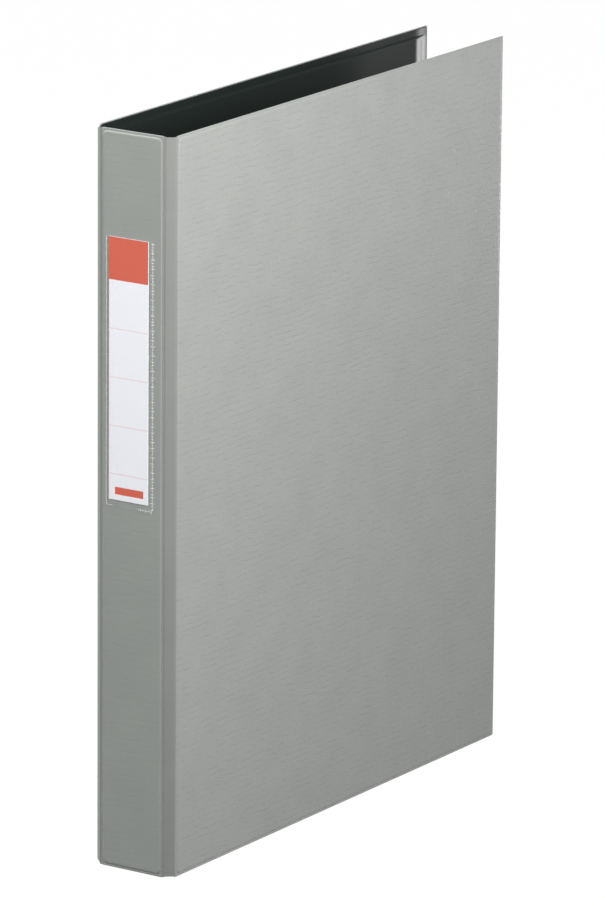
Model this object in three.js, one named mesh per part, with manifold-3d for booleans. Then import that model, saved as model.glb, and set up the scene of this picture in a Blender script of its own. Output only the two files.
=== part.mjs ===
import * as THREE from "three";
import { mergeVertices } from "three/addons/utils/BufferGeometryUtils.js";
import Module from "manifold-3d";

// An A4 ring binder of welded foil over board, standing upright on its bottom edges.
// X runs through its thickness with the front cover at +X, Y runs from the spine to the
// fore edges, and Z is up. Lengths are millimetres and angles are degrees.

// Case
const caseHeight = 315;
const caseThickness = 40; // over the two covers
const caseDepth = 250; // from the spine's outer face to the fore edges
const spineWidth = 29.6; // of the raised pad
const creaseSetback = 4.7; // from the spine's outer face to the covers' raised pads
const outerFoil = 0.3;
const innerFoil = 0.3;
const boardThickness = 1.7;
const rimDrop = 0.7; // how far the welded rim lies below the outer face
const rimWidth = 1.4; // along the free edges
const creaseRim = 0.8; // beside a crease
const padSlope = 0.6; // run of a pad's sloping side
const padCorner = 3;
const rimCorner = 2;
const boardClearance = 0.2; // round the board inside its foils
const creaseGap = 0.3; // between a hinge strip and the rims beside it

// Label and its pocket
const labelWidth = 19.6;
const labelHeight = 111;
const labelThickness = 0.3;
const labelLift = 2.3; // from the pocket's bottom weld
const labelSideClearance = 1; // from the left weld
const pocketWidth = 23; // between the side welds
const pocketHeight = 113.6; // from the bottom weld to the open top
const pocketTop = 44.6; // from the case's top edge
const pocketShift = -0.9; // of its middle from the spine's middle
const pocketFilm = 0.25;
const pocketWeld = 0.8;
const pocketSlack = 0.15; // between the label and the film

// Ring mechanism
const ringCount = 4;
const ringPitch = 80;
const railSetback = 20; // from the spine's inner face to the middle of the rail
const railWidth = 18;
const railHeight = 6.5;
const railShoulder = 3.4; // height of the rail's upright sides
const railSheet = 0.8;
const railOverhang = 15; // past the outermost rings
const hemHeight = 2.4; // of the folded foot that carries the blades
const bladeThickness = 0.8;
const bladeSeat = 0.4; // between a blade and the hem or the rail's side
const bladeSlack = 0.15; // from each blade's inner edge to the rail's middle when flat
const bladeEndClearance = 1.5;
const closedTilt = 7; // of each blade with the rings closed
const wireDiameter = 3;
const loopTop = 26.9; // height of the wire's centre over the cover
const bulge = 11.5; // of the curved half, from the rail's middle
const loopRadius = 10.5; // of the curved half
const curvedFoot = 4.6; // from the rail's middle
const straightFoot = 5;
const tipRadius = 4; // where the straight half turns over
const tipGap = 0.3;
const footGap = 0.3; // between a wire's foot and its blade
const slotClearance = 0.5;

// Rivets
const rivetInset = 20; // from the outermost rings
const rivetShank = 4;
const rivetHead = 9;
const rivetHeadRise = 0.9;
const rivetCollar = 6.4;
const rivetCollarRise = 0.8;
const rivetClearance = 0.3;
const postWall = 0.8;
const postTopClearance = 0.1;
const notchClearance = 0.8;

// Sizes that follow
const degree = Math.PI / 180;
const panelThickness = outerFoil + boardThickness + innerFoil;
const rimThickness = outerFoil + innerFoil;
const rimMiddle = rimDrop + rimThickness / 2;
const coverStart = -caseDepth / 2 + creaseSetback - creaseRim;
const railLength = (ringCount - 1) * ringPitch + 2 * railOverhang;
const ringHeights = Array.from(
  { length: ringCount },
  (_, i) => caseHeight / 2 + (i - (ringCount - 1) / 2) * ringPitch,
);
const rivetHeights = [ringHeights[0] + rivetInset, ringHeights.at(-1) - rivetInset];
const rivetHole = rivetShank / 2 + rivetClearance;
const postRadius = rivetHole + postWall;
const hingeHeight = hemHeight + bladeSeat + bladeThickness / 2;
const hingeOffset = railWidth / 2 - railSheet - bladeSeat - bladeThickness / 2;
const pocketRise = labelThickness + pocketSlack + pocketFilm;

// Materials
const finish = (color, roughness, metalness = 0) =>
  new THREE.MeshStandardMaterial({ color, roughness, metalness });
const greyFoil = finish(0xa7aba5, 0.5);
const blackFoil = finish(0x1e2422, 0.35);
const greyBoard = finish(0x8b8578, 0.95);
const paper = finish(0xe8ebf0, 0.8);
const nickel = finish(0xc8c8c4, 0.25, 1);
const clearFilm = new THREE.MeshStandardMaterial({
  color: 0xf2f4f4,
  roughness: 0.15,
  transparent: true,
  opacity: 0.25,
});

const wasm = await Module();
wasm.setup();

function named(name, geometry, material) {
  const mesh = new THREE.Mesh(geometry, material);
  mesh.name = name;
  return mesh;
}

function toSolid(geometry) {
  const bare = geometry.clone();
  bare.deleteAttribute("normal");
  bare.deleteAttribute("uv");
  const merged = mergeVertices(bare, 1e-4);
  return new wasm.Manifold(
    new wasm.Mesh({
      numProp: 3,
      vertProperties: new Float32Array(merged.attributes.position.array),
      triVerts: new Uint32Array(merged.index.array),
    }),
  );
}

function cut(geometry, cutters) {
  let solid = toSolid(geometry);
  for (const cutter of cutters) solid = solid.subtract(toSolid(cutter));
  const mesh = solid.getMesh();
  const result = new THREE.BufferGeometry();
  result.setAttribute("position", new THREE.BufferAttribute(mesh.vertProperties, 3));
  result.setIndex(new THREE.BufferAttribute(mesh.triVerts, 1));
  result.computeVertexNormals();
  return result;
}

// A closed skin over a stack of loops with equal point counts, filled at both ends.
// Seen along the stack from its first loop, each loop turns anticlockwise.
function stackedLoops(loops) {
  const count = loops[0].length;
  const index = [];
  for (let k = 1; k < count - 1; k++) index.push(0, k, k + 1);
  for (let i = 0; i + 1 < loops.length; i++)
    for (let k = 0; k < count; k++) {
      const next = (k + 1) % count;
      const a = i * count + k;
      const b = i * count + next;
      index.push(a, a + count, b + count, a, b + count, b);
    }
  const last = (loops.length - 1) * count;
  for (let k = 1; k < count - 1; k++) index.push(last, last + k + 1, last + k);
  const geometry = new THREE.BufferGeometry().setFromPoints(loops.flat());
  geometry.setIndex(index);
  geometry.computeVertexNormals();
  return geometry;
}

// A rounded rectangle from (left, bottom) to (right, top) in the plane at depth.
function roundedLoop(left, right, bottom, top, radius, depth) {
  const corners = [
    [right - radius, bottom + radius, -90],
    [right - radius, top - radius, 0],
    [left + radius, top - radius, 90],
    [left + radius, bottom + radius, 180],
  ];
  const steps = 4;
  return corners.flatMap(([x, z, start]) =>
    Array.from({ length: steps + 1 }, (_, i) => {
      const turn = (start + (90 * i) / steps) * degree;
      return new THREE.Vector3(x + radius * Math.cos(turn), depth, z + radius * Math.sin(turn));
    }),
  );
}

// Panels of the case: a board between two foils that are welded together round it.
// A panel's own frame has X along it, Y into the case from its outer face, and Z up.

function padLoop(panel, inset, radius, depth) {
  const { left, right, leftRim, rightRim } = panel;
  return roundedLoop(
    left + (inset > 0 ? leftRim + inset - rimWidth : 0),
    right - (inset > 0 ? rightRim + inset - rimWidth : 0),
    inset,
    caseHeight - inset,
    radius,
    depth,
  );
}

function outerFoilGeometry(panel) {
  const inside = rimDrop + outerFoil;
  return stackedLoops([
    padLoop(panel, rimWidth + padSlope, padCorner, 0),
    padLoop(panel, rimWidth, padCorner, rimDrop),
    padLoop(panel, 0, rimCorner, rimDrop),
    padLoop(panel, 0, rimCorner, inside),
    padLoop(panel, rimWidth + outerFoil, padCorner, inside),
    padLoop(panel, rimWidth + padSlope + outerFoil, padCorner, outerFoil),
  ]);
}

function innerFoilGeometry(panel) {
  const weld = rimDrop + outerFoil;
  return stackedLoops([
    padLoop(panel, rimWidth + padSlope + innerFoil, padCorner, outerFoil + boardThickness),
    padLoop(panel, rimWidth + innerFoil, padCorner, weld),
    padLoop(panel, 0, rimCorner, weld),
    padLoop(panel, 0, rimCorner, weld + innerFoil),
    padLoop(panel, rimWidth, padCorner, weld + innerFoil),
    padLoop(panel, rimWidth + padSlope, padCorner, panelThickness),
  ]);
}

function boardGeometry(panel) {
  const inset = rimWidth + padSlope + Math.max(outerFoil, innerFoil) + boardClearance;
  return stackedLoops([
    padLoop(panel, inset, padCorner, outerFoil),
    padLoop(panel, inset, padCorner, outerFoil + boardThickness),
  ]);
}

function makePanel(name, panel, holes) {
  const group = new THREE.Group();
  const finished = (geometry) => (holes.length ? cut(geometry, holes) : geometry);
  group.add(
    named(name + "_outer_foil", finished(outerFoilGeometry(panel)), greyFoil),
    named(name + "_board", finished(boardGeometry(panel)), greyBoard),
    named(name + "_inner_foil", finished(innerFoilGeometry(panel)), blackFoil),
  );
  return group;
}

function makeSpine() {
  const half = spineWidth / 2 + creaseRim;
  const panel = { left: -half, right: half, leftRim: creaseRim, rightRim: creaseRim };
  const spine = makePanel("spine", panel, []);
  spine.position.y = -caseDepth / 2;
  return spine;
}

function makeFrontCover() {
  const panel = {
    left: coverStart,
    right: caseDepth / 2,
    leftRim: creaseRim,
    rightRim: rimWidth,
  };
  const cover = makePanel("front_cover", panel, []);
  cover.position.x = caseThickness / 2;
  cover.rotation.z = 90 * degree;
  return cover;
}

// The back cover's own X runs towards the spine, and the rivets pass through it.
function makeBackCover(railPlace) {
  const panel = {
    left: -caseDepth / 2,
    right: -coverStart,
    leftRim: rimWidth,
    rightRim: creaseRim,
  };
  const holes = rivetHeights.map((height) =>
    new THREE.CylinderGeometry(rivetHole, rivetHole, 3 * panelThickness, 24).translate(
      -railPlace,
      panelThickness / 2,
      height,
    ),
  );
  const cover = makePanel("back_cover", panel, holes);
  cover.position.x = -caseThickness / 2;
  cover.rotation.z = -90 * degree;
  return cover;
}

// The flat strip of welded foil between the spine's crease and a cover's crease.
function makeHingeStrip(name, side) {
  const spineCrease = new THREE.Vector2(
    side * (spineWidth / 2 + creaseRim),
    -caseDepth / 2 + rimMiddle,
  );
  const coverCrease = new THREE.Vector2(side * (caseThickness / 2 - rimMiddle), coverStart);
  const along = coverCrease.clone().sub(spineCrease);
  const middle = spineCrease.clone().add(coverCrease).multiplyScalar(0.5);
  const strip = named(
    name,
    new THREE.BoxGeometry(along.length() - 2 * creaseGap, rimThickness, caseHeight),
    greyFoil,
  );
  strip.position.set(middle.x, middle.y, caseHeight / 2);
  strip.rotation.z = along.angle();
  return strip;
}

// The label lies on the spine under a clear film that is open at its top.
function makeLabel() {
  const group = new THREE.Group();
  const left = pocketShift - pocketWidth / 2;
  const right = pocketShift + pocketWidth / 2;
  const top = caseHeight - pocketTop;
  const bottom = top - pocketHeight;
  const weldLoop = (inset, depth) =>
    roundedLoop(
      left - pocketWeld + inset,
      right + pocketWeld - inset,
      bottom - pocketWeld + inset,
      top + 2 * pocketWidth,
      pocketWeld,
      depth,
    );
  const slope = labelSideClearance / 2;
  const film = stackedLoops([
    weldLoop(pocketWeld + slope, -pocketRise),
    weldLoop(pocketWeld, -pocketFilm),
    weldLoop(0, -pocketFilm),
    weldLoop(0, 0),
    weldLoop(pocketWeld + pocketFilm / 2, 0),
    weldLoop(pocketWeld + slope + pocketFilm / 2, -labelThickness - pocketSlack),
  ]);
  const mouth = new THREE.BoxGeometry(2 * pocketWidth, 4 * pocketRise, 4 * pocketWidth);
  mouth.translate(pocketShift, 0, top + 2 * pocketWidth);
  group.add(named("label_pocket", cut(film, [mouth]), clearFilm));

  const label = named(
    "label_card",
    new THREE.BoxGeometry(labelWidth, labelThickness, labelHeight),
    paper,
  );
  label.position.set(
    left + labelSideClearance + labelWidth / 2,
    -labelThickness / 2,
    bottom + labelLift + labelHeight / 2,
  );
  group.add(label);
  group.position.y = -caseDepth / 2;
  return group;
}

// Ring mechanism, in a frame that stands on the back cover's inner face: X towards the
// spine from the middle of the rail, Y away from the cover, and Z up.

// The rail's half width at the height of its shoulder shrinks over the arch to nothing.
function makeRail() {
  const outer = railWidth / 2;
  const inner = outer - railSheet;
  const hem = inner - railSheet;
  const section = new THREE.Shape();
  section.moveTo(hem, 0);
  section.lineTo(outer, 0);
  section.lineTo(outer, railShoulder);
  section.absellipse(0, railShoulder, outer, railHeight - railShoulder, 0, Math.PI, false);
  section.lineTo(-outer, 0);
  section.lineTo(-hem, 0);
  section.lineTo(-hem, hemHeight);
  section.lineTo(-inner, hemHeight);
  section.lineTo(-inner, railShoulder);
  section.absellipse(
    0,
    railShoulder,
    inner,
    railHeight - railSheet - railShoulder,
    Math.PI,
    0,
    true,
  );
  section.lineTo(inner, hemHeight);
  section.lineTo(hem, hemHeight);
  const rail = new THREE.ExtrudeGeometry(section, {
    depth: railLength,
    bevelEnabled: false,
    curveSegments: 8,
  });
  rail.translate(0, 0, (caseHeight - railLength) / 2);

  const swing = (railHeight - hingeHeight) * Math.sin(2 * closedTilt * degree);
  const slotLength = wireDiameter + swing + 2 * slotClearance;
  const slots = ringHeights.flatMap((height) =>
    [curvedFoot, -straightFoot].map((foot) =>
      new THREE.BoxGeometry(
        slotLength,
        railHeight,
        wireDiameter + 2 * slotClearance,
      ).translate(foot + (Math.sign(foot) * swing) / 2, hemHeight + railHeight / 2, height),
    ),
  );
  const holes = rivetHeights.map((height) =>
    new THREE.CylinderGeometry(rivetHole, rivetHole, railHeight, 24).translate(
      0,
      railHeight,
      height,
    ),
  );
  return named("ring_rail", cut(rail, [...slots, ...holes]), nickel);
}

// One of the two plates that the ring halves stand on. It turns about its outer edge,
// and its inner edge has a notch round each rivet's post.
function makeBlade(name, side) {
  const inner = bladeSlack - hingeOffset;
  const outer = bladeThickness / 2;
  const length = railLength - 2 * bladeEndClearance;
  const start = (caseHeight - length) / 2;
  const notch = postRadius + notchClearance;
  const reach = Math.acos(bladeSlack / notch);
  const outline = new THREE.Path();
  outline.moveTo(outer, start);
  outline.lineTo(outer, start + length);
  outline.lineTo(inner, start + length);
  for (const height of [...rivetHeights].reverse())
    outline.absarc(-hingeOffset, height, notch, reach, -reach, true);
  outline.lineTo(inner, start);
  const shape = new THREE.Shape(
    outline.getPoints(5).map((point) => new THREE.Vector2(side * point.x, point.y)),
  );
  const geometry = new THREE.ExtrudeGeometry(shape, {
    depth: bladeThickness,
    bevelEnabled: false,
  });
  geometry.rotateX(90 * degree);
  geometry.translate(0, bladeThickness / 2, 0);
  const blade = named(name, geometry, nickel);
  blade.position.set(side * hingeOffset, hingeHeight, 0);
  blade.rotation.z = side * closedTilt * degree;
  return blade;
}

// Height at which a wire's foot stands clear of its tilted blade.
function footHeight(foot) {
  const tilt = closedTilt * degree;
  const middle = hingeHeight - (hingeOffset - foot) * Math.tan(tilt);
  const over = bladeThickness / 2 / Math.cos(tilt) + (wireDiameter / 2) * Math.tan(tilt);
  return middle + over + footGap;
}

// A round wire along a flat path, with square ends.
function wireGeometry(path) {
  const points = path.getPoints(5);
  const sides = 12;
  const loops = points.map((point, i) => {
    const before = points[Math.max(i - 1, 0)];
    const after = points[Math.min(i + 1, points.length - 1)];
    const along = after.clone().sub(before).normalize();
    return Array.from({ length: sides }, (_, k) => {
      const turn = (2 * Math.PI * k) / sides;
      const across = (wireDiameter / 2) * Math.cos(turn);
      return new THREE.Vector3(
        point.x + across * along.y,
        point.y - across * along.x,
        (wireDiameter / 2) * Math.sin(turn),
      );
    });
  });
  return stackedLoops(loops);
}

function curvedHalfGeometry() {
  const middle = loopTop - loopRadius;
  const path = new THREE.Path();
  path.moveTo(curvedFoot, footHeight(curvedFoot));
  path.lineTo(curvedFoot, railHeight);
  path.bezierCurveTo(
    curvedFoot,
    railHeight + wireDiameter,
    bulge,
    (railHeight + middle) / 2 - wireDiameter / 2,
    bulge,
    middle,
  );
  path.absarc(bulge - loopRadius, middle, loopRadius, 0, 90 * degree, false);
  path.lineTo(tipRadius - straightFoot + tipGap, loopTop);
  return wireGeometry(path);
}

function straightHalfGeometry() {
  const path = new THREE.Path();
  path.moveTo(-straightFoot, footHeight(straightFoot));
  path.lineTo(-straightFoot, loopTop - tipRadius);
  path.absarc(
    tipRadius - straightFoot,
    loopTop - tipRadius,
    tipRadius,
    180 * degree,
    90 * degree,
    true,
  );
  return wireGeometry(path);
}

// A rivet from its domed head outside the cover to its rolled collar on the rail.
function rivetGeometry() {
  const steps = 4;
  const dome = Array.from({ length: steps + 1 }, (_, i) => {
    const turn = (90 * degree * i) / steps;
    return new THREE.Vector2(
      (rivetHead / 2) * Math.sin(turn),
      -panelThickness - rivetHeadRise * Math.cos(turn),
    );
  });
  const profile = [
    ...dome,
    new THREE.Vector2(rivetShank / 2, -panelThickness),
    new THREE.Vector2(rivetShank / 2, railHeight),
    new THREE.Vector2(rivetCollar / 2, railHeight),
    new THREE.Vector2(rivetCollar / 2, railHeight + rivetCollarRise / 2),
    new THREE.Vector2(rivetCollar / 2 - rivetCollarRise / 2, railHeight + rivetCollarRise),
    new THREE.Vector2(0, railHeight + rivetCollarRise),
  ];
  return new THREE.LatheGeometry(profile, 24);
}

// The sleeve between the cover and the underside of the rail's arch.
function postGeometry() {
  const inner = railWidth / 2 - railSheet;
  const arch = railHeight - railSheet - railShoulder;
  const top =
    railShoulder + arch * Math.sqrt(1 - (postRadius / inner) ** 2) - postTopClearance;
  const profile = [
    new THREE.Vector2(rivetHole, 0),
    new THREE.Vector2(postRadius, 0),
    new THREE.Vector2(postRadius, top),
    new THREE.Vector2(rivetHole, top),
    new THREE.Vector2(rivetHole, 0),
  ];
  return new THREE.LatheGeometry(profile, 24);
}

function makeMechanism(railPlace) {
  const mechanism = new THREE.Group();
  mechanism.add(
    makeRail(),
    makeBlade("spine_side_blade", 1),
    makeBlade("fore_edge_side_blade", -1),
  );
  ringHeights.forEach((height, i) => {
    const curved = named("ring_" + (i + 1) + "_curved_half", curvedHalfGeometry(), nickel);
    const straight = named("ring_" + (i + 1) + "_straight_half", straightHalfGeometry(), nickel);
    curved.position.z = height;
    straight.position.z = height;
    mechanism.add(curved, straight);
  });
  rivetHeights.forEach((height, i) => {
    const place = i === 0 ? "lower" : "upper";
    const rivet = named(place + "_rivet", rivetGeometry(), nickel);
    const post = named(place + "_rivet_post", postGeometry(), nickel);
    rivet.position.z = height;
    post.position.z = height;
    mechanism.add(rivet, post);
  });
  mechanism.position.set(-caseThickness / 2 + panelThickness, railPlace, 0);
  mechanism.rotation.z = -90 * degree;
  return mechanism;
}

// The whole binder, moved so that its box is centred over the origin
const railPlace = -caseDepth / 2 + panelThickness + railSetback;
const binder = new THREE.Group();
binder.add(
  makeSpine(),
  makeFrontCover(),
  makeBackCover(railPlace),
  makeHingeStrip("front_hinge_strip", 1),
  makeHingeStrip("back_hinge_strip", -1),
  makeLabel(),
  makeMechanism(railPlace),
);
binder.position.set(rivetHeadRise / 2, pocketRise / 2, 0);

export default binder;
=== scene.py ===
import math

import bpy
import numpy as np
from mathutils import Matrix, Vector


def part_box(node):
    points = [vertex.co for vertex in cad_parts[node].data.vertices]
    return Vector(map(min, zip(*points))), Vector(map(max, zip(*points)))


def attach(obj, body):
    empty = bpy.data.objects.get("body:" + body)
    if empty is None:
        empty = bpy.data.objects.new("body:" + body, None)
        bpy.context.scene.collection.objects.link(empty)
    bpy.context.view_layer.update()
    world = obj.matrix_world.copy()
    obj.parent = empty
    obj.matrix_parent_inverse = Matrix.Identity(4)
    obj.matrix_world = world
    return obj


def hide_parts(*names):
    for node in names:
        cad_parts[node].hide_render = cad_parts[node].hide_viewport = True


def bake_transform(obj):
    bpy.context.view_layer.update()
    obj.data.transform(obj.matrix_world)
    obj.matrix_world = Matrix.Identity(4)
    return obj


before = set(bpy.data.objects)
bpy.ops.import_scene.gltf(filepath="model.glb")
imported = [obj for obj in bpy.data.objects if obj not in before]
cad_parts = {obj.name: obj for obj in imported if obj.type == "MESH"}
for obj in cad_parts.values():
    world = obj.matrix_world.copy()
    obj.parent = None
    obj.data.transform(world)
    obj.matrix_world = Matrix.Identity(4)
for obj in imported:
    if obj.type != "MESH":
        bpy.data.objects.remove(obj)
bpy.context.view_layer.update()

# A grey ring binder of welded foil over board, standing closed on its bottom edges.
# X runs through its thickness, Y from the spine to the fore edges, Z up.
# Shapes and patterns are sized in mm, and lamps and camera are placed in metres.
mm = 0.001


# Small helpers

def linear(hexColour):  # sRGB hex to linear RGBA
    channels = [int(hexColour[i:i + 2], 16) / 255 for i in (1, 3, 5)]
    return [c / 12.92 if c <= 0.04045 else ((c + 0.055) / 1.055) ** 2.4 for c in channels] + [1.0]


def addNode(tree, kind, inputs=None, **settings):
    node = tree.nodes.new(kind)
    for name, value in settings.items():
        setattr(node, name, value)
    for name, value in (inputs or {}).items():
        if isinstance(value, bpy.types.NodeSocket):
            tree.links.new(value, node.inputs[name])
        else:
            node.inputs[name].default_value = value
    return node


def newMaterial(name):
    material = bpy.data.materials.new(name)
    material.use_nodes = True
    material.node_tree.nodes.clear()
    return material, material.node_tree


def finishMaterial(tree, shader):
    output = addNode(tree, "ShaderNodeOutputMaterial")
    tree.links.new(shader.outputs[0], output.inputs["Surface"])


def makeObject(name, points, faces, materials, faceMaterials=None, smoothAngle=40):
    mesh = bpy.data.meshes.new(name)
    mesh.from_pydata(np.asarray(points, float).tolist(), [], faces)
    for material in materials:
        mesh.materials.append(material)
    if faceMaterials is not None:
        mesh.polygons.foreach_set("material_index", faceMaterials)
    mesh.shade_smooth()
    mesh.set_sharp_from_angle(angle=math.radians(smoothAngle))
    mesh.update()
    thing = bpy.data.objects.new(name, mesh)
    bpy.context.scene.collection.objects.link(thing)
    return thing


def stackFaces(loopCount, pointCount):
    # Quads between neighbouring loops of a stack, and one flat face on each end.
    k = np.arange(pointCount)
    after = (k + 1) % pointCount
    quads = [
        np.stack([i * pointCount + k, (i + 1) * pointCount + k,
                  (i + 1) * pointCount + after, i * pointCount + after], 1)
        for i in range(loopCount - 1)
    ]
    faces = np.concatenate(quads).tolist()
    faces.append(k.tolist())
    faces.append(((loopCount - 1) * pointCount + k[::-1]).tolist())
    return faces


def unitRows(rows):  # each row scaled to length one
    return rows / np.linalg.norm(rows, axis=1)[:, None]


# Materials

foilLook = {
    "colour": "#90958F", "shade": "#868B86",  # the grey and its slightly darker patches
    "patch": 20.0,  # size of the patches
    "row": 2.8, "waver": 4.5,  # pitch of the embossed rows, and how far they stray
    # the crease shade value on this line is painted shade: the share of the colour kept in the emboss's
    # creases
    "creaseStart": 0.62, "creaseDepth": 0.05, "embossPaintedShade": 0.935,
    "dashLength": 6.5, "dashHeight": 1.1,  # stretches where the creases show or fade out
    "dashFade": (0.42, 0.62),  # from this to this height of their noise, the creases fade in
    "threadWidth": 0.7, "threadHeight": 3.5, "threadDepth": 0.016,  # upright cross grain
    "pebble": 0.8, "pebbleDepth": 0.11,
    "roughness": 0.46, "sheen": 0.3,  # the sheen is the specular level under the coat
    "gloss": 0.4, "glossRoughness": 0.18,  # the coat, which draws the grain's bright specks
    "coverGrain": 1.0, "spineGrain": 0.3, "creaseGrain": 0.15,  # share of the grain that shows
    "hingePaintedShade": 0.78,  # painted shade: the hinge strips' foil is darkened to stand for the shade they lie in
}


def stretchedNoise(tree, place, length, height, **settings):
    # Noise drawn out along the level, so that its waves are this long and this high.
    scale = (1 / (length * mm), 1 / (length * mm), 1 / (height * mm))
    mapped = addNode(tree, "ShaderNodeMapping", {"Vector": place, "Scale": scale})
    return addNode(tree, "ShaderNodeTexNoise",
                   {"Vector": mapped.outputs[0], "Scale": 1.0, **settings}).outputs[0]


def grainHeight(tree, place, look):
    # Wavering level rows, of which only a fine crease shows, broken into dashes.
    period = 2 * math.pi / 20  # the wave texture's own, at a scale of one
    rows = addNode(tree, "ShaderNodeTexWave", {
        "Vector": place, "Scale": period / (look["row"] * mm), "Distortion": look["waver"],
        "Detail": 3.0, "Detail Scale": 0.6, "Detail Roughness": 0.6,
    }, bands_direction="Z")
    crease = addNode(tree, "ShaderNodeMapRange", {
        "Value": rows.outputs[1], "From Min": look["creaseStart"],
    }, interpolation_type="SMOOTHSTEP")
    breaks = stretchedNoise(tree, place, look["dashLength"], look["dashHeight"], Detail=1.5)
    kept = addNode(tree, "ShaderNodeMapRange", {
        "Value": breaks, "From Min": look["dashFade"][0], "From Max": look["dashFade"][1],
    }, interpolation_type="SMOOTHSTEP")
    dashes = addNode(tree, "ShaderNodeMath", {0: crease.outputs[0], 1: kept.outputs[0]},
                     operation="MULTIPLY")
    return dashes.outputs[0]


def makeFoil(name, look, grainShare, paintedShade=1.0):
    # Calendered PVC foil, embossed and welded: satin, even in colour, its grain seen by its gloss and by
    # painted shade darkening its creases.
    # The share weakens the whole grain, and the painted shade factor darkens the whole colour.
    material, tree = newMaterial(name)
    place = addNode(tree, "ShaderNodeTexCoord").outputs["Object"]
    dashes = grainHeight(tree, place, look)
    pebbles = stretchedNoise(tree, place, look["pebble"], look["pebble"], Detail=1.0)
    threads = stretchedNoise(tree, place, look["threadWidth"], look["threadHeight"], Detail=1.0)
    patches = addNode(tree, "ShaderNodeTexNoise", {
        "Vector": place, "Scale": 1 / (look["patch"] * mm), "Detail": 3.0,
    })
    colour = addNode(tree, "ShaderNodeMix", {
        0: patches.outputs[0], 6: linear(look["colour"]), 7: linear(look["shade"]),
    }, data_type="RGBA")
    # painted shade: the colour is darkened along the embossed creases, where shade falls
    embossPaintedShade = addNode(tree, "ShaderNodeMapRange", {
        "Value": dashes, "To Min": paintedShade, "To Max": paintedShade * (1 - (1 - look["embossPaintedShade"]) * grainShare),
    })
    tinted = addNode(tree, "ShaderNodeVectorMath", {
        0: colour.outputs[2], "Scale": embossPaintedShade.outputs[0],
    }, operation="SCALE")
    fine = addNode(tree, "ShaderNodeBump", {
        "Strength": 1.0, "Distance": look["pebbleDepth"] * grainShare * mm, "Height": pebbles,
    })
    crossed = addNode(tree, "ShaderNodeBump", {
        "Strength": 1.0, "Distance": look["threadDepth"] * grainShare * mm, "Height": threads,
        "Normal": fine.outputs[0],
    })
    coarse = addNode(tree, "ShaderNodeBump", {
        "Strength": 1.0, "Distance": look["creaseDepth"] * grainShare * mm, "Height": dashes,
        "Normal": crossed.outputs[0],
    }, invert=True)
    shader = addNode(tree, "ShaderNodeBsdfPrincipled", {
        "Base Color": tinted.outputs[0], "Roughness": look["roughness"], "IOR": 1.5,
        "Specular IOR Level": look["sheen"], "Coat Weight": look["gloss"] * grainShare,
        "Coat Roughness": look["glossRoughness"], "Normal": coarse.outputs[0],
        "Coat Normal": coarse.outputs[0],
    })
    finishMaterial(tree, shader)
    return material


liningLook = {
    "colour": "#1E2422", "ripple": 14.0, "rippleDepth": 0.02,
    "roughness": 0.2, "sheen": 0.1,
    "curlStart": 114.0, "curlEnd": 128.0, "curlDepth": 1.2,  # it curls outwards to the fore edge
}


def makeLining(look):
    # Smooth black PVC lining: glossy, with the faint ripple of foil that lies loose on board.
    material, tree = newMaterial("blackLiningFoil")
    place = addNode(tree, "ShaderNodeTexCoord").outputs["Object"]
    ripple = addNode(tree, "ShaderNodeTexNoise", {
        "Vector": place, "Scale": 1 / (look["ripple"] * mm), "Detail": 2.0,
    })
    rippled = addNode(tree, "ShaderNodeBump", {
        "Strength": 1.0, "Distance": look["rippleDepth"] * mm, "Height": ripple.outputs[0],
    })
    axes = addNode(tree, "ShaderNodeSeparateXYZ", {"Vector": place})
    curl = addNode(tree, "ShaderNodeMapRange", {
        "Value": axes.outputs["Y"], "From Min": look["curlStart"] * mm, "From Max": look["curlEnd"] * mm,
    }, interpolation_type="SMOOTHSTEP")
    bump = addNode(tree, "ShaderNodeBump", {
        "Strength": 1.0, "Distance": look["curlDepth"] * mm, "Height": curl.outputs[0],
        "Normal": rippled.outputs[0],
    }, invert=True)
    shader = addNode(tree, "ShaderNodeBsdfPrincipled", {
        "Base Color": linear(look["colour"]), "Roughness": look["roughness"],
        "IOR": 1.5, "Specular IOR Level": look["sheen"], "Normal": bump.outputs[0],
    })
    finishMaterial(tree, shader)
    return material


nickelLook = {"colour": "#C9C8C3", "brush": 0.6, "brushDepth": 0.002, "roughness": 0.2}


def makeNickel(look):
    # Bright nickel plate on drawn steel: a clear mirror, softened by faint drawing lines.
    material, tree = newMaterial("nickelPlate")
    place = addNode(tree, "ShaderNodeTexCoord").outputs["Object"]
    lines = addNode(tree, "ShaderNodeTexNoise", {
        "Vector": place, "Scale": 1 / (look["brush"] * mm), "Detail": 2.0,
    })
    bump = addNode(tree, "ShaderNodeBump", {
        "Strength": 1.0, "Distance": look["brushDepth"] * mm, "Height": lines.outputs[0],
    })
    shader = addNode(tree, "ShaderNodeBsdfPrincipled", {
        "Base Color": linear(look["colour"]), "Metallic": 1.0, "Roughness": look["roughness"],
        "Normal": bump.outputs[0],
    })
    finishMaterial(tree, shader)
    return material


fibreLooks = {  # the colour is the pulp's or the ink's; fleck and depth are the felt's
    "greyBoard": {"colour": "#8B8578", "fleck": 1.2, "depth": 0.03, "roughness": 0.95},
    "whiteCard": {"colour": "#E5E9EC", "fleck": 0.8, "depth": 0.004, "roughness": 0.7},
    "redInk": {"colour": "#C9553B", "fleck": 0.8, "depth": 0.002, "roughness": 0.6},
    "paleRedInk": {"colour": "#E0C0C2", "fleck": 0.8, "depth": 0.002, "roughness": 0.7},
}
fibreShade = {"dark": 0.96, "light": 1.02, "sheen": 0.25}  # shared by all of them


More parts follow.
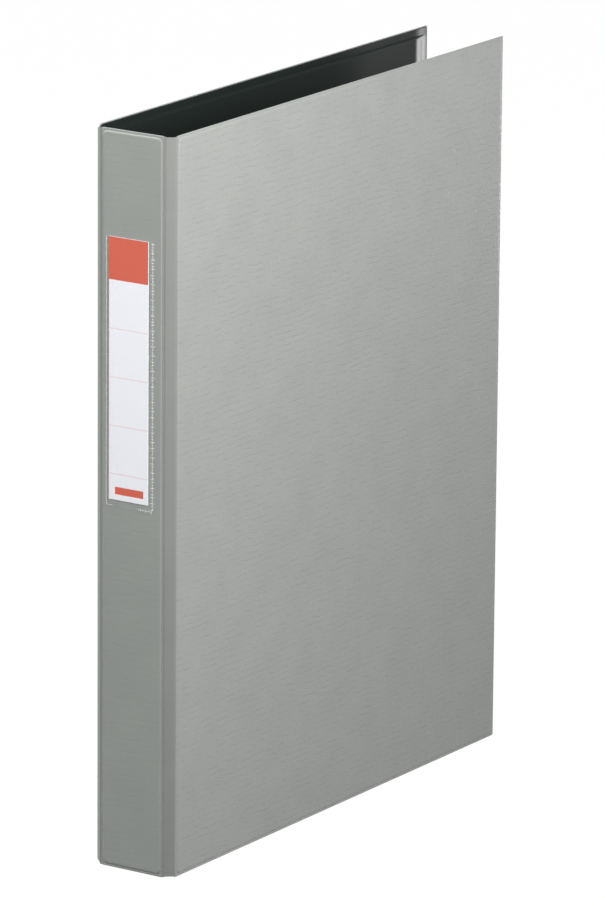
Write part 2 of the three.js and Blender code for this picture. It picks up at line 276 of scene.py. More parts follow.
def makeFibrous(name):
    # Pressed paper fibre: dull, with a fine felted surface.
    look = fibreLooks[name]
    material, tree = newMaterial(name)
    place = addNode(tree, "ShaderNodeTexCoord").outputs["Object"]
    fibres = addNode(tree, "ShaderNodeTexNoise", {
        "Vector": place, "Scale": 1 / (look["fleck"] * mm), "Detail": 3.0,
    })
    shade = addNode(tree, "ShaderNodeMapRange", {
        "Value": fibres.outputs[0], "To Min": fibreShade["dark"], "To Max": fibreShade["light"],
    })
    tinted = addNode(tree, "ShaderNodeVectorMath", {
        0: linear(look["colour"])[:3], "Scale": shade.outputs[0],
    }, operation="SCALE")
    bump = addNode(tree, "ShaderNodeBump", {
        "Strength": 1.0, "Distance": look["depth"] * mm, "Height": fibres.outputs[0],
    })
    shader = addNode(tree, "ShaderNodeBsdfPrincipled", {
        "Base Color": tinted.outputs[0], "Roughness": look["roughness"],
        "Specular IOR Level": fibreShade["sheen"], "Normal": bump.outputs[0],
    })
    finishMaterial(tree, shader)
    return material


filmLook = {
    "colour": "#F4F6F6", "ripple": 9.0, "rippleDepth": 0.02,
    "alpha": 0.02, "roughness": 0.12, "weldAlpha": 0.32, "weldRoughness": 0.35,
}


def makeFilm(name, look, alpha, roughness):
    # Clear soft PVC film: nearly invisible but for its gloss; cloudy where it is welded.
    material, tree = newMaterial(name)
    place = addNode(tree, "ShaderNodeTexCoord").outputs["Object"]
    ripple = addNode(tree, "ShaderNodeTexNoise", {
        "Vector": place, "Scale": 1 / (look["ripple"] * mm), "Detail": 1.0,
    })
    bump = addNode(tree, "ShaderNodeBump", {
        "Strength": 1.0, "Distance": look["rippleDepth"] * mm, "Height": ripple.outputs[0],
    })
    shader = addNode(tree, "ShaderNodeBsdfPrincipled", {
        "Base Color": linear(look["colour"]), "Roughness": roughness, "IOR": 1.5,
        "Alpha": alpha, "Normal": bump.outputs[0],
    })
    finishMaterial(tree, shader)
    return material


embossedFoil = makeFoil("greyEmbossedFoil", foilLook, foilLook["coverGrain"])
spineFoil = makeFoil("greySpineFoil", foilLook, foilLook["spineGrain"])
# painted shade: this copy of the foil has a darker colour, standing for the shade on the hinge strips
shadedCreaseFoil = makeFoil("greyCreaseFoilPaintedShade", foilLook, foilLook["creaseGrain"], foilLook["hingePaintedShade"])
liningFoil = makeLining(liningLook)
nickelPlate = makeNickel(nickelLook)
clearFilm = makeFilm("clearFilm", filmLook, filmLook["alpha"], filmLook["roughness"])
weldedFilm = makeFilm("weldedFilm", filmLook, filmLook["weldAlpha"], filmLook["weldRoughness"])
greyBoard = makeFibrous("greyBoard")
whiteCard = makeFibrous("whiteCard")
redInk = makeFibrous("redInk")
paleRedInk = makeFibrous("paleRedInk")
print("materials ready")


# Case panels: each is a board between two foils that are welded together round it

panelShape = {
    "foil": 0.3, "board": 1.7,
    "rimWidth": 0.9, "creaseRim": 0.7,  # the welded rim is narrower beside a crease
    "rimDrop": 0.35, "shoulder": 0.8,  # how far it lies under the pad, and the width of the slope
    "bead": 0.04, "groove": 0.01,  # relief of the weld's outer bead and of the groove inside it
    "beadSpan": (0.6, 0.35), "beadFall": 0.8, "grooveWidth": 0.12,
    "arris": ((0.12, -0.02), (0.0, 0.1)),  # insets and depths of the rim's rounded arris
    "padFlat": 0.6,  # level stretch of foil inside the slope
    "cornerSteps": 12, "slopeSteps": 9, "rimSteps": 5,
}

liningShape = {
    "greyLip": 0.4,  # how far the grey foil stands out past the black one
    "flat": 3.6, "slope": 0.3,  # the lining lies flat on the grey foil, then rises over the board
    "foreFlat": 0.4, "foreSlope": 12.0,  # at the fore edge it rises slowly
    "run": 1.0, "foreRun": 2.0,  # level stretch past the slope
    "edgeFall": 0.7, "edgeRound": (0.1, 0.25),  # share and insets of its rounded cut edge
    "support": 0.1, "foreSupport": 0.4,  # rows beside the slope that keep its ends crisp
    "steps": 13,
}

boardShape = {
    "edgeRoom": 0.3, "slopeRoom": 0.35, "foreStep": 0.1,  # room to the pad's edge and the slope
    "clear": 0.01, "sideLow": 0.2, "sideHigh": 0.05,  # clear of both foils, and off the weld
}

cornerRadii = {  # of the rim and of the pad, at each kind of side
    "crease": (1.0, 2.0),
    "worn crease": (2.2, 3.0),  # the back cover's corners beside its crease are worn round
    "fore": (0.7, 1.6),
}
panelSides = {  # the kinds of the left and the right side
    "spine": ("crease", "crease"),
    "front_cover": ("crease", "fore"),
    "back_cover": ("fore", "worn crease"),
}
panelFrames = {  # unit vectors along the panel and into the case
    "spine": ((1, 0, 0), (0, 1, 0)),
    "front_cover": ((0, 1, 0), (-1, 0, 0)),
    "back_cover": ((0, -1, 0), (1, 0, 0)),
}


def roundedLoop(sides, radii, depth, steps):
    # Points of a rounded rectangle, anticlockwise from its right bottom corner:
    # corner centre plus radius times the cosine and sine of an even turn.
    left, right, bottom, top = sides
    leftRadius, rightRadius = radii
    turn = np.radians(np.linspace(0, 90, steps + 1))
    corners = [(right, -1, bottom, 1, rightRadius, -90), (right, -1, top, -1, rightRadius, 0),
               (left, 1, top, -1, leftRadius, 90), (left, 1, bottom, 1, leftRadius, 180)]
    parts = [
        np.stack([x + radius * (signX + np.cos(turn + math.radians(start))),
                  np.full(steps + 1, depth),
                  z + radius * (signZ + np.sin(turn + math.radians(start)))], 1)
        for x, signX, z, signZ, radius, start in corners
    ]
    return np.concatenate(parts)


def creaseInset(inset):
    # The narrower rim beside a crease is squeezed, and the rest is shifted.
    full, rim = panelShape["rimWidth"], panelShape["creaseRim"]
    return inset * rim / full if inset <= full else inset - full + rim


def cornerRadius(inset, kind):
    rim, pad = cornerRadii[kind]
    return rim + min(inset / panelShape["rimWidth"], 1) * (pad - rim)


def panelLoops(extent, kinds, profile):
    # Each row of the profile is an inset, a depth and the inset on the fore side.
    left, right, bottom, top = extent
    loops = []
    for inset, depth, foreInset in profile:
        own = [foreInset if kind == "fore" else creaseInset(inset) for kind in kinds]
        radii = [cornerRadius(inset, kind) for kind in kinds]
        sides = (left + own[0], right - own[1], bottom + inset, top - inset)
        loops.append(roundedLoop(sides, radii, depth, panelShape["cornerSteps"]))
    return np.array(loops)


def easedStretch(start, end, count):
    # From one (inset, depth) to another, easing in and out of the depth.
    t = np.linspace(0, 1, count)
    ease = t * t * (3 - 2 * t)
    return list(zip(start[0] + (end[0] - start[0]) * t, start[1] + (end[1] - start[1]) * ease))


def evenProfile(rows):
    return [(inset, depth, inset) for inset, depth in rows]


def outerProfile():
    # The grey foil's face from its flat middle down to the rim's edge, then its underside back.
    shape = panelShape
    rim, drop, foil = shape["rimWidth"], shape["rimDrop"], shape["foil"]
    bead, groove, steps = shape["bead"], shape["groove"], shape["rimSteps"]
    beadInner, beadOuter = shape["beadSpan"]
    weld = drop + foil
    padEdge = rim + shape["shoulder"]
    padFlat = padEdge + shape["padFlat"]
    return evenProfile([
        (padFlat, 0.0),
        *easedStretch((padEdge, 0.0), (rim, drop + groove), shape["slopeSteps"]),
        *easedStretch((rim - shape["grooveWidth"], drop + groove), (beadInner, drop - bead), steps)[1:],
        (beadOuter, drop - bead * shape["beadFall"]),
        *[(inset, drop + depth) for inset, depth in shape["arris"]],
        (0.0, weld), (rim + foil, weld),
        *easedStretch((rim + foil, weld), (padEdge + foil, foil), steps)[1:],
        (padFlat + foil, foil),
    ])


def innerProfile():
    # Underside of the lining from the middle to the edge, then its upper side back again.
    shape, foil = liningShape, panelShape["foil"]
    lip, near, far = shape["greyLip"], shape["support"], shape["foreSupport"]
    weld = panelShape["rimDrop"] + foil
    seat, top = weld + foil, foil + panelShape["board"]
    slope = np.linspace(0, 1, shape["steps"])
    rise = slope * slope * (3 - 2 * slope)
    inset = shape["flat"] + shape["slope"] * slope
    foreInset = lip + shape["foreFlat"] + shape["foreSlope"] * slope
    up = np.column_stack([inset, seat + (top - weld) * rise, foreInset])
    down = up[::-1] + (foil / 2, -foil, foil / 2)
    middle, foreMiddle = inset[-1] + shape["run"], foreInset[-1] + shape["foreRun"]
    return [
        (middle + foil / 2, top, foreMiddle + foil / 2), *down.tolist(),
        (lip, weld, lip), (lip, weld + foil * shape["edgeFall"], lip),
        *[(lip + width, seat, lip + width) for width in shape["edgeRound"]],
        (inset[0] - near, seat, foreInset[0] - near), *up.tolist(),
        (inset[-1] + near, top + foil, foreInset[-1] + far), (middle, top + foil, foreMiddle),
    ]


def boardProfile():
    # The board stops short of the pad's edge, and its inner arris short of the lining's slope.
    shape, lining, foil = boardShape, liningShape, panelShape["foil"]
    top, weld = foil + panelShape["board"], panelShape["rimDrop"] + foil
    outerEdge = panelShape["rimWidth"] + panelShape["shoulder"] + foil + shape["edgeRoom"]
    innerEdge = lining["flat"] + lining["slope"] + shape["slopeRoom"]
    foreInner = lining["greyLip"] + lining["foreFlat"] + lining["foreSlope"] + shape["slopeRoom"]
    return [
        (outerEdge, foil + shape["clear"], outerEdge), (outerEdge, weld - shape["sideLow"], outerEdge),
        (innerEdge, weld - shape["sideHigh"], foreInner - shape["foreStep"]),
        (innerEdge, top - shape["clear"], foreInner),
    ]


def makePanel(name):
    along, inward = panelFrames[name]
    low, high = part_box(name + "_outer_foil")
    axes = np.array([along, inward, (0, 0, 1)], float)
    corners = np.array([low, high]) @ axes.T / mm  # in the panel's own frame
    lowOwn, highOwn = corners.min(0), corners.max(0)
    extent = (lowOwn[0], highOwn[0], lowOwn[2], highOwn[2])
    face = lowOwn[1]
    layers = {
        "outer_foil": (outerProfile(), spineFoil if name == "spine" else embossedFoil, "grey_foil"),
        "board": (boardProfile(), greyBoard, "board"),
        "inner_foil": (innerProfile(), liningFoil, "black_foil"),
    }
    for layer, (profile, material, slotName) in layers.items():
        loops = panelLoops(extent, panelSides[name], profile)
        loops[:, :, 1] += face
        points = loops.reshape(-1, 3) @ axes * mm
        piece = makeObject(name + "_" + layer + "_skin", points,
                           stackFaces(len(loops), loops.shape[1]), [material])
        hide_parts(name + "_" + layer)
        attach(piece, name)


for panel in panelFrames:
    makePanel(panel)
print("panels ready")


# Hinge strips: each foil runs on from the spine's rim, over two creases, to a cover's rim

stripShape = {
    "fillet": 0.45, "steps": 7,  # reach of the rounding at each crease
    "turn": 0.9,  # width of the stretch that bends
    "endDip": 0.5,  # how far both ends draw in, halfway across
    "wornDip": 2.1,  # how far the back strip's outer corners are worn off
}


def roundedStretch(corner, before, after, reach, count):
    # A quadratic Bezier round a corner, from reach before it to reach after it.
    t = np.linspace(0, 1, count)[:, None]
    start, end = corner - before * reach, corner + after * reach
    return (1 - t) ** 2 * start + 2 * t * (1 - t) * corner + t * t * end


def makeStrip(side, hinge, cover):
    spineLow, spineHigh = (np.array(corner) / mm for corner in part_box("spine_outer_foil"))
    coverLow, coverHigh = (np.array(corner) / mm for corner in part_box(cover + "_outer_foil"))
    foil = panelShape["foil"]
    weld = panelShape["rimDrop"] + foil
    spineEdge = np.array([spineHigh[0] if side > 0 else spineLow[0], spineLow[1] + weld])
    coverEdge = np.array([coverHigh[0] - weld if side > 0 else coverLow[0] + weld, coverLow[1]])
    across, away = np.array([side, 0.0]), np.array([0.0, 1.0])
    reach, steps, turn = stripShape["fillet"], stripShape["steps"], stripShape["turn"]
    first, second = spineEdge + across * reach, coverEdge - away * reach
    along = (second - first) / np.linalg.norm(second - first)
    middle = (first + second) / 2
    spineBend = roundedStretch(first, across, along, reach, steps)
    coverBend = roundedStretch(second, along, away, reach, steps)
    halves = {
        "spine_crease": (np.concatenate([spineBend, middle[None]]), "spine", hinge,
                         spineEdge, spineEdge + along * turn),
        "cover_crease": (np.concatenate([middle[None], coverBend]), hinge, cover,
                         coverEdge - along * turn, coverEdge),
    }
    half = len(halves["spine_crease"][0])
    for crease, (line, bodyA, bodyB, start, end) in halves.items():
        tangent = np.gradient(line, axis=0)
        tangent[0] = across if crease == "spine_crease" else along
        tangent[-1] = along if crease == "spine_crease" else away
        tangent = unitRows(tangent)
        outward = np.stack([tangent[:, 1], -tangent[:, 0]], 1) * side
        run = np.linspace(0, 0.5, half) + (0 if crease == "spine_crease" else 0.5)
        dip = stripShape["endDip"] * np.sin(math.pi * run)
        if side < 0:
            dip += stripShape["wornDip"] * run ** 2
        for layer, near, far, material, slotName in (("outer", 0.0, foil, shadedCreaseFoil, "grey_foil"),
                                                     ("inner", -foil, 0.0, liningFoil, "black_foil")):
            sections = []
            for offset, low in ((far, True), (far, False), (near, False), (near, True)):
                edge = line + outward * offset
                height = spineLow[2] + dip if low else spineHigh[2] - dip
                sections.append(np.column_stack([edge, height]))
            loops = np.array(sections).transpose(1, 0, 2)
            piece = makeObject("%s_%s_%s" % (hinge, crease, layer), loops.reshape(-1, 3) * mm,
                               stackFaces(len(loops), 4), [material], smoothAngle=50)
            if side < 0:
                piece.data.flip_normals()
            if crease == "spine_crease":
                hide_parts(hinge + "_strip")
            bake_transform(piece)


makeStrip(1, "front_hinge", "front_cover")
makeStrip(-1, "back_hinge", "back_cover")
print("hinge strips ready")


# Label card, printed with a plain red field and thin rules

cardPrint = {
    "redField": 18.0, "section": 20.5, "sections": 4, "rule": 0.28,
    "bar": (3.2, 17.4), "barHeight": (2.4, 5.6),  # plain red bar near the foot
    "edgeTint": 0.25,
}


def makeCard():
    low, high = (np.array(corner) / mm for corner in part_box("label_card"))
    plain, red, pale, bar = range(4)  # what is printed between one height and the next
    rows = [(low[2], plain), (high[2] - cardPrint["redField"], red), (high[2], None)]
    for i in range(1, cardPrint["sections"] + 1):
        rule = high[2] - cardPrint["redField"] - i * cardPrint["section"]
        rows += [(rule - cardPrint["rule"] / 2, pale), (rule + cardPrint["rule"] / 2, plain)]
    barLow, barHigh = (low[2] + value for value in cardPrint["barHeight"])
    rows += [(barLow, bar), (barHigh, plain)]
    rows.sort(key=lambda row: row[0])
    heights = np.array([row[0] for row in rows])
    columns = np.array([low[0], low[0] + cardPrint["edgeTint"], low[0] + cardPrint["bar"][0],
                        low[0] + cardPrint["bar"][1], high[0]])
    x, z = np.meshgrid(columns, heights, indexing="ij")
    front = np.stack([x, np.full_like(x, low[1]), z], 2).reshape(-1, 3)
    back = np.array([(x, high[1], z) for x, z in
                     ((low[0], low[2]), (high[0], low[2]), (high[0], high[2]), (low[0], high[2]))])
    rowsCount = len(heights)
    edgeColumn, barColumn = 0, 2
    faces, inks = [], []
    for i in range(len(columns) - 1):
        for j in range(rowsCount - 1):
            a = i * rowsCount + j
            faces.append([a, a + rowsCount, a + rowsCount + 1, a + 1])
            field = rows[j][1]
            if field == red or (field == bar and i == barColumn):
                inks.append(red)
            elif field == pale or i == edgeColumn:
                inks.append(pale)
            else:
                inks.append(plain)
    base = len(front)
    last = (len(columns) - 1) * rowsCount
    bottomEdge = [i * rowsCount for i in range(len(columns))]
    topEdge = [i * rowsCount + rowsCount - 1 for i in range(len(columns))]
    sides = [
        [base + 3, base + 2, base + 1, base],
        [base, base + 1] + bottomEdge[::-1],
        [base + 2, base + 3] + topEdge,
        [base + 3, base] + list(range(rowsCount)),
        [base + 1, base + 2] + list(range(last, last + rowsCount))[::-1],
    ]
    card = makeObject("printed_label", np.concatenate([front, back]) * mm, faces + sides,
                      [whiteCard, redInk, paleRedInk], inks + [plain] * len(sides))
    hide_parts("label_card")
    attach(card, "spine")


makeCard()


# Clear pocket over the card, with ribbed weld seams down its sides and short returns at its foot

pocketShape = {
    "film": 0.22, "weld": 0.8, "slope": 0.9,  # its thickness, welded width, and slope up to the card
    "plateau": 0.42, "flat": 0.5,  # height over the foil, and the level stretch inside the slope
    "edge": 0.1, "edgeFall": 0.6, "clear": 0.01,  # its rounded cut edge, just clear of the foil
    "corner": 1.0, "cornerSteps": 9, "slopeSteps": 6,
}

seamShape = {
    "height": 0.12, "thread": 0.18,  # height of a seam, and its width between two ribs
    "floor": 0.4, "sunk": 0.9,  # share of the height between ribs, and of the film it starts from
    "sharpness": 6, "wander": 0.4, "wanderTurn": 1.9,  # the ribs are narrow and differ in strength
    "taper": 0.8, "taperLeast": 0.15,  # length over which the ends thin out, and to what share
    "top": 0.4, "foot": 0.5, "bend": 0.9,  # gaps to the film's edges, and the turn along the foot
    "footStart": 0.3, "ribSteps": 8, "bendSteps": 7, "roundSteps": 7,
    "left": {"inset": 0.5, "width": 0.75, "rib": 0.9, "return": 3.4},  # width and pitch of the ribs
    "right": {"inset": 1.0, "width": 2.4, "rib": 1.3, "return": -7.5},
}


def makeFilmPocket():
    # The film's left, bottom and right edges are welded down, and its top stands open.
    low, high = (np.array(corner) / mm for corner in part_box("label_pocket"))
    face = high[1]
    shape = pocketShape
    film, weld, clear, flat = shape["film"], shape["weld"], shape["clear"], shape["flat"]
    rise, inside, steps = shape["plateau"] + film, weld + shape["slope"], shape["slopeSteps"]
    under = film / 2  # the underside lies this much further in
    profile = [
        (inside + flat, -rise), *easedStretch((inside, -rise), (weld, -film), steps),
        (shape["edge"], -film), (0.0, -film * shape["edgeFall"]), (0.0, -clear), (weld + under, -clear),
        *easedStretch((weld + under, -clear), (inside + under, film - rise), steps)[1:],
        (inside + flat + under, film - rise),
    ]
    turn = np.radians(np.linspace(0, 90, shape["cornerSteps"]))
    radius, top = shape["corner"], [high[2]]
    near, far = radius - radius * np.cos(turn), radius - radius * np.sin(turn)
    loops = []
    for inset, depth in profile:
        left, right, bottom = low[0] + inset, high[0] - inset, low[2] + inset
        x = np.concatenate([[left], left + near, right - far, [right]])
        z = np.concatenate([top, bottom + far, bottom + near, top])
        loops.append(np.stack([x, np.full_like(x, face + depth), z], 1))
    loops = np.array(loops)
    pocket = makeObject("clear_label_pocket", loops.reshape(-1, 3) * mm,
                        stackFaces(len(loops), loops.shape[1]), [clearFilm])
    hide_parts("label_pocket")
    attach(pocket, "spine")


def seamLine(x, bottom, top, seam):
    # Straight down the film's side, a quarter circle, then along its foot for a stretch.
    shape = seamShape
    way = math.copysign(1, seam["return"])
    pitch, level, radius = seam["rib"] / shape["ribSteps"], bottom + shape["foot"], shape["bend"]
    down = np.arange(top - shape["top"], level + radius, -pitch)
    around = np.radians(np.linspace(0, 90, shape["bendSteps"]))[1:]
    centre = x + way * radius
    bend = np.stack([centre - way * radius * np.cos(around), level + radius - radius * np.sin(around)], 1)
    out = np.arange(shape["footStart"], abs(seam["return"]) - radius, pitch)
    foot = np.stack([centre + way * out, np.full(len(out), level)], 1)
    return np.concatenate([np.stack([np.full(len(down), x), down], 1), bend, foot])


def makeSeams():
    # A seam's section is a flat half ellipse. Its width and height go up and down along the seam
    # with the ribs, which are a power of a sine of the distance, times a slower sine.
    low, high = (np.array(corner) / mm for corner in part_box("label_pocket"))
    shape = seamShape
    base = high[1] - pocketShape["film"] * shape["sunk"]
    turns = np.radians(np.linspace(0, 180, shape["roundSteps"]))
    for name, edge, way in (("left", low[0], 1), ("right", high[0], -1)):
        seam = shape[name]
        line = seamLine(edge + way * seam["inset"], low[2], high[2], seam)
        step = np.linalg.norm(np.diff(line, axis=0), axis=1)
        run = np.concatenate([[0], np.cumsum(step)])
        tangent = unitRows(np.gradient(line, axis=0))
        normal = np.stack([-tangent[:, 1], tangent[:, 0]], 1)
        strength = 1 - shape["wander"] + shape["wander"] * np.sin(shape["wanderTurn"] * run)
        ribs = np.sin(math.pi * run / seam["rib"]) ** shape["sharpness"] * strength
        taper = np.clip(np.minimum(run, run[-1] - run) / shape["taper"], shape["taperLeast"], 1)
        width = shape["thread"] + (seam["width"] - shape["thread"]) * ribs * taper
        height = shape["height"] * (shape["floor"] + (1 - shape["floor"]) * ribs) * taper
        across = np.cos(turns)[None, :] * width[:, None] / 2
        lift = np.sin(turns)[None, :] * height[:, None]
        points = np.stack([line[:, :1] + normal[:, :1] * across, base - lift,
                           line[:, 1:] + normal[:, 1:] * across], 2)
        ribbed = makeObject("pocket_seam_" + name, points.reshape(-1, 3) * mm,
                            stackFaces(len(points), len(turns)), [weldedFilm], smoothAngle=70)
        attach(ribbed, "spine")


makeFilmPocket()
makeSeams()
print("label ready")


# Ring mechanism on the back cover

ringShape = {
    "rings": 4, "wire": 3.0, "chamfer": 0.35,
    "loopTop": 26.9, "bulge": 11.5, "loopRadius": 10.5, "railHeight": 6.5,
    "curvedFoot": 4.6, "straightFoot": 5.0, "tipRadius": 4.0, "tipGap": 0.3, "footHeight": 3.5,
    "sides": 28, "curveSteps": 24, "arcSteps": 30, "tipSteps": 20,
}


def curvedLine(shape):
    # Straight up out of the rail, a cubic Bezier out to the bulge, a quarter circle to the top.
    middle = shape["loopTop"] - shape["loopRadius"]
    foot, bulge, rail, wire = shape["curvedFoot"], shape["bulge"], shape["railHeight"], shape["wire"]
    t = np.linspace(0, 1, shape["curveSteps"])[:, None]
    start, rising = np.array((foot, rail)), np.array((foot, rail + wire))
    below, end = np.array((bulge, (rail + middle) / 2 - wire / 2)), np.array((bulge, middle))
    bezier = ((1 - t) ** 3 * start + 3 * (1 - t) ** 2 * t * rising
              + 3 * (1 - t) * t * t * below + t ** 3 * end)
    turn = np.radians(np.linspace(0, 90, shape["arcSteps"]))[1:]
    radius = shape["loopRadius"]
    arc = np.stack([bulge - radius + radius * np.cos(turn), middle + radius * np.sin(turn)], 1)
    tip = shape["tipRadius"] - shape["straightFoot"] + shape["tipGap"]
    return np.concatenate([[[foot, shape["footHeight"]]], bezier, arc, [[tip, shape["loopTop"]]]])


def straightLine(shape):
    # Straight up, then a quarter circle over to the tip.
    radius, foot = shape["tipRadius"], shape["straightFoot"]
    turn = np.radians(np.linspace(180, 90, shape["tipSteps"]))
    arc = np.stack([radius - foot + radius * np.cos(turn),
                    shape["loopTop"] - radius + radius * np.sin(turn)], 1)
    return np.concatenate([[[-foot, shape["footHeight"]]], arc])


def wireTube(line, radius, sides, chamfer):
    # A circle carried along a flat line, square to it, with its last ring shrunk to a chamfer.
    tangent = np.gradient(line, axis=0)
    tangent[0], tangent[-1] = line[1] - line[0], line[-1] - line[-2]
    tangent = unitRows(tangent)
    radii = np.full(len(line), radius)
    inner = line[-1] - tangent[-1] * chamfer
    line = np.concatenate([line[:-1], [inner], line[-1:]])
    tangent = np.concatenate([tangent, tangent[-1:]])
    radii = np.concatenate([radii, [radius - chamfer]])
    turn = np.radians(np.arange(sides) * 360 / sides)
    across = radii[:, None] * np.cos(turn)
    return np.stack([line[:, :1] + across * tangent[:, 1:], line[:, 1:] - across * tangent[:, :1],
                     radii[:, None] * np.sin(turn)], 2)


def makeRings():
    railLow, railHigh = (np.array(corner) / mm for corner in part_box("ring_rail"))
    railMiddle = (railLow[1] + railHigh[1]) / 2
    for half, line, body in (("curved", curvedLine(ringShape), "spine_side_ring_halves"),
                             ("straight", straightLine(ringShape), "fore_edge_side_ring_halves")):
        own = wireTube(line, ringShape["wire"] / 2, ringShape["sides"], ringShape["chamfer"])
        for ring in range(1, ringShape["rings"] + 1):
            node = "ring_%d_%s_half" % (ring, half)
            low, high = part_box(node)
            points = np.stack([railLow[0] + own[..., 1], railMiddle - own[..., 0],
                               (low[2] + high[2]) / 2 / mm + own[..., 2]], 2)
            wire = makeObject("ring_%d_%s_wire" % (ring, half), points.reshape(-1, 3) * mm,
                              stackFaces(len(points), points.shape[1]), [nickelPlate])
            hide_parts(node)
            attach(wire, body)


arrisShape = {"rail": 0.15, "sheet": 0.1, "segments": 2, "leastAngle": 35}


def softenedCopy(node, name, body, width):
    # The CAD solid with its arrises rounded, as rolled and tumbled sheet steel has them.
    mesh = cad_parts[node].data.copy()
    mesh.name = name
    piece = bpy.data.objects.new(name, mesh)
    bpy.context.scene.collection.objects.link(piece)
    mesh.materials.clear()
    mesh.materials.append(nickelPlate)
    weld = piece.modifiers.new("merge", "WELD")
    weld.merge_threshold = 0.002 * mm
    bevel = piece.modifiers.new("arris", "BEVEL")
    bevel.width = width * mm
    bevel.segments = arrisShape["segments"]
    bevel.limit_method = "ANGLE"
    bevel.angle_limit = math.radians(arrisShape["leastAngle"])
    graph = bpy.context.evaluated_depsgraph_get()
    finished = bpy.data.meshes.new_from_object(piece.evaluated_get(graph))
    piece.modifiers.clear()
    piece.data = finished
    finished.shade_smooth()
    finished.set_sharp_from_angle(angle=math.radians(40))
    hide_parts(node)
    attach(piece, body)


makeRings()
softenedCopy("ring_rail", "rolled_rail", "back_cover", arrisShape["rail"])
for side in ("spine_side", "fore_edge_side"):
    softenedCopy(side + "_blade", side + "_plate", side + "_ring_halves", arrisShape["sheet"])


# Rivets: a low dome outside the cover, a shank, and a rolled collar on the rail

rivetShape = {
    "head": 4.5, "rise": 0.9, "poleAngle": 2, "panel": 2.3,  # the dome lies on a panel this thick
    "shank": 2.0, "neck": 0.3, "neckHeight": 0.1, "clear": 0.01,
    "collar": 3.2, "collarRise": 0.8, "railHeight": 6.5,
    "holeTop": 1.5, "holeFoot": 1.2, "holeLip": 0.1, "dimple": 0.35, "pole": 0.05,
    "domeSteps": 14, "collarSteps": 8, "steps": 48,
}


def makeRivets():
    # A profile of radius and height, spun round the rivet's axis: the dome is a quarter ellipse
    # from near its pole, and the collar ends in a quarter circle and a shallow hole.
    shape = rivetShape
    panel, shank, rail, clear = shape["panel"], shape["shank"], shape["railHeight"], shape["clear"]
    turn = np.radians(np.linspace(shape["poleAngle"], 90, shape["domeSteps"]))
    dome = np.stack([shape["head"] * np.sin(turn), -panel - shape["rise"] * np.cos(turn)], 1)
    stem = [(shank + shape["neck"], -panel + clear), (shank, -panel + shape["neckHeight"]),
            (shank, rail), (shape["collar"], rail + clear)]
    around = np.radians(np.linspace(0, 90, shape["collarSteps"]))
    edge = shape["collarRise"] / 2
    collar = np.stack([shape["collar"] - edge + edge * np.cos(around),
                       rail + edge + edge * np.sin(around)], 1)
    top = rail + shape["collarRise"]
    hole = [(shape["holeTop"], top - shape["holeLip"]), (shape["holeFoot"], top - shape["dimple"]),
            (shape["pole"], top - shape["dimple"])]
    profile = np.concatenate([dome, stem, collar, hole])
    low, high = (np.array(corner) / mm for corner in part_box("ring_rail"))
    spin = np.radians(np.arange(shape["steps"]) * 360 / shape["steps"])
    for name in ("lower", "upper"):
        rivetLow, rivetHigh = (np.array(corner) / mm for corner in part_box(name + "_rivet"))
        middle = (rivetLow + rivetHigh) / 2
        points = np.stack([low[0] + np.repeat(profile[:, 1:], shape["steps"], 1),
                           middle[1] + profile[:, :1] * np.cos(spin),
                           middle[2] + profile[:, :1] * np.sin(spin)], 2)
        faces = [face[::-1] for face in stackFaces(len(points), shape["steps"])]
        rivet = makeObject(name + "_domed_rivet", points.reshape(-1, 3) * mm, faces, [nickelPlate])
        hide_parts(name + "_rivet")
        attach(rivet, "back_cover")
        softenedCopy(name + "_rivet_post", name + "_post_sleeve", "back_cover", arrisShape["sheet"])


makeRivets()
print("mechanism ready")


# Floor, light and camera

def seenBy(tree, *kinds):
    # One for light paths of these kinds, and nought for all others.
    rays = addNode(tree, "ShaderNodeLightPath")
    seen = rays.outputs[kinds[0]]
    for kind in kinds[1:]:
        both = addNode(tree, "ShaderNodeMath", {0: seen, 1: rays.outputs[kind]}, operation="MAXIMUM")
        seen = both.outputs[0]
    return seen


floorLook = {"size": 12.0, "glowShare": 0.85, "glow": 1.165, "grey": 0.16}
worldLook = {"unseen": 0.04, "seen": 1.0}  # strength as a light, and as a backdrop or reflection


def makeFloor():
    # It is seen as glowing white paper, and it throws back little light onto the object.
    size, grey = floorLook["size"], floorLook["grey"]
    points = [(-size, -size, 0), (size, -size, 0), (size, size, 0), (-size, size, 0)]
    material, tree = newMaterial("paleFloor")
    seen = seenBy(tree, "Is Camera Ray", "Is Glossy Ray", "Is Transmission Ray")
    share = addNode(tree, "ShaderNodeMath", {0: seen, 1: floorLook["glowShare"]}, operation="MULTIPLY")
    matt = addNode(tree, "ShaderNodeBsdfDiffuse", {"Color": (grey, grey, grey, 1)})
    glow = addNode(tree, "ShaderNodeEmission", {"Color": (1, 1, 1, 1), "Strength": floorLook["glow"]})
    mixed = addNode(tree, "ShaderNodeMixShader", {
        0: share.outputs[0], 1: matt.outputs[0], 2: glow.outputs[0],
    })
    finishMaterial(tree, mixed)
    floor = makeObject("floor", points, [[0, 1, 2, 3]], [material])


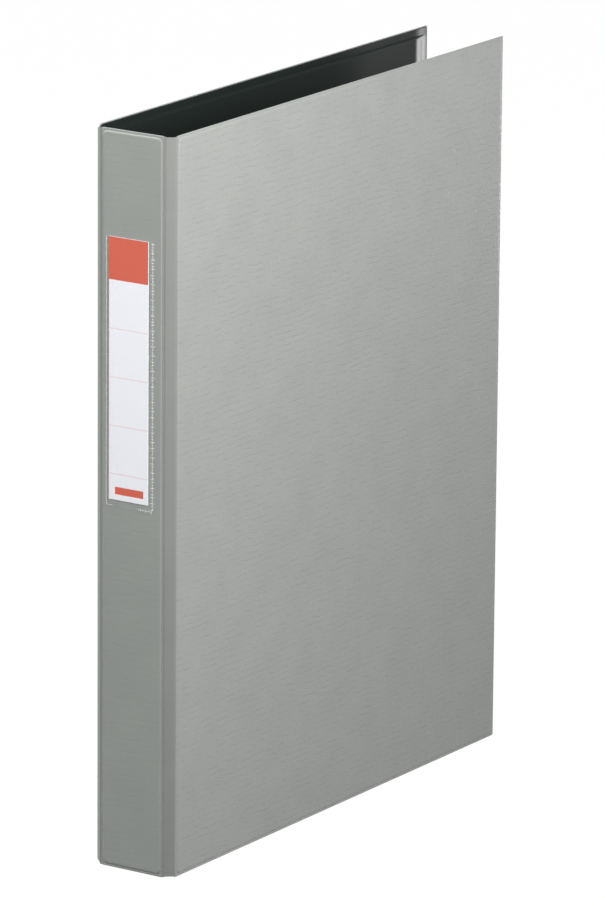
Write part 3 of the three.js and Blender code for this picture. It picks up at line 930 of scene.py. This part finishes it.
def makeWorld():
    world = bpy.data.worlds.new("studio")
    bpy.context.scene.world = world
    world.use_nodes = True
    tree = world.node_tree
    tree.nodes.clear()
    seen = seenBy(tree, "Is Camera Ray", "Is Glossy Ray")
    strength = addNode(tree, "ShaderNodeMapRange", {
        "Value": seen, "To Min": worldLook["unseen"], "To Max": worldLook["seen"],
    })
    sky = addNode(tree, "ShaderNodeBackground", {"Color": (1, 1, 1, 1), "Strength": strength.outputs[0]})
    output = addNode(tree, "ShaderNodeOutputWorld")
    tree.links.new(sky.outputs[0], output.inputs["Surface"])


# The key lights the front cover, the fill the spine and label, and the edge lamp, low behind the
# fore edge, gives the back cover's lining its gloss. Powers are in watts.
lamps = {
    "key": {"place": (0.53, -0.31, 0.58), "aim": (0.0, -0.07, 0.26), "size": (0.35, 0.5),
            "power": 8.7, "colour": "#FFFAFE"},
    "fill": {"place": (-1.0, -0.7, 0.8), "aim": (0.0, -0.1, 0.16), "size": (0.9, 0.9),
             "power": 19.6, "colour": "#FFFFFF"},
    "edge": {"place": (0.11, 0.8, 0.13), "aim": (0.0, 0.12, 0.3), "size": (0.24, 0.2),
             "power": 0.8, "colour": "#FFFFFF"},
}


def makeLamps():
    for name, lamp in lamps.items():
        light = bpy.data.lights.new(name, "AREA")
        light.shape = "RECTANGLE"
        light.size, light.size_y = lamp["size"]
        light.energy = lamp["power"]
        light.color = linear(lamp["colour"])[:3]
        thing = bpy.data.objects.new(name, light)
        bpy.context.scene.collection.objects.link(thing)
        thing.location = lamp["place"]
        thing.visible_camera = False
        direction = Vector(lamp["aim"]) - Vector(lamp["place"])
        thing.rotation_euler = direction.to_track_quat("-Z", "Y").to_euler()


viewpoint = {"place": (1.6870, -2.5276, 0.9638), "azimuth": 33.698, "elevation": 14.908,
             "roll": 0.459, "lens": 296.99, "sensor": 36.0}


def makeCamera():
    data = bpy.data.cameras.new("photo view")
    data.lens = viewpoint["lens"]
    data.sensor_width = viewpoint["sensor"]
    data.clip_end = 100
    camera = bpy.data.objects.new("photo view", data)
    bpy.context.scene.collection.objects.link(camera)
    turn = (Matrix.Rotation(math.radians(viewpoint["azimuth"]), 4, "Z")
            @ Matrix.Rotation(math.radians(90 - viewpoint["elevation"]), 4, "X")
            @ Matrix.Rotation(math.radians(viewpoint["roll"]), 4, "Z"))
    camera.matrix_world = Matrix.Translation(viewpoint["place"]) @ turn
    bpy.context.scene.camera = camera


makeFloor()
makeWorld()
makeLamps()
makeCamera()
bpy.context.scene.view_settings.view_transform = "Standard"
print("studio ready")
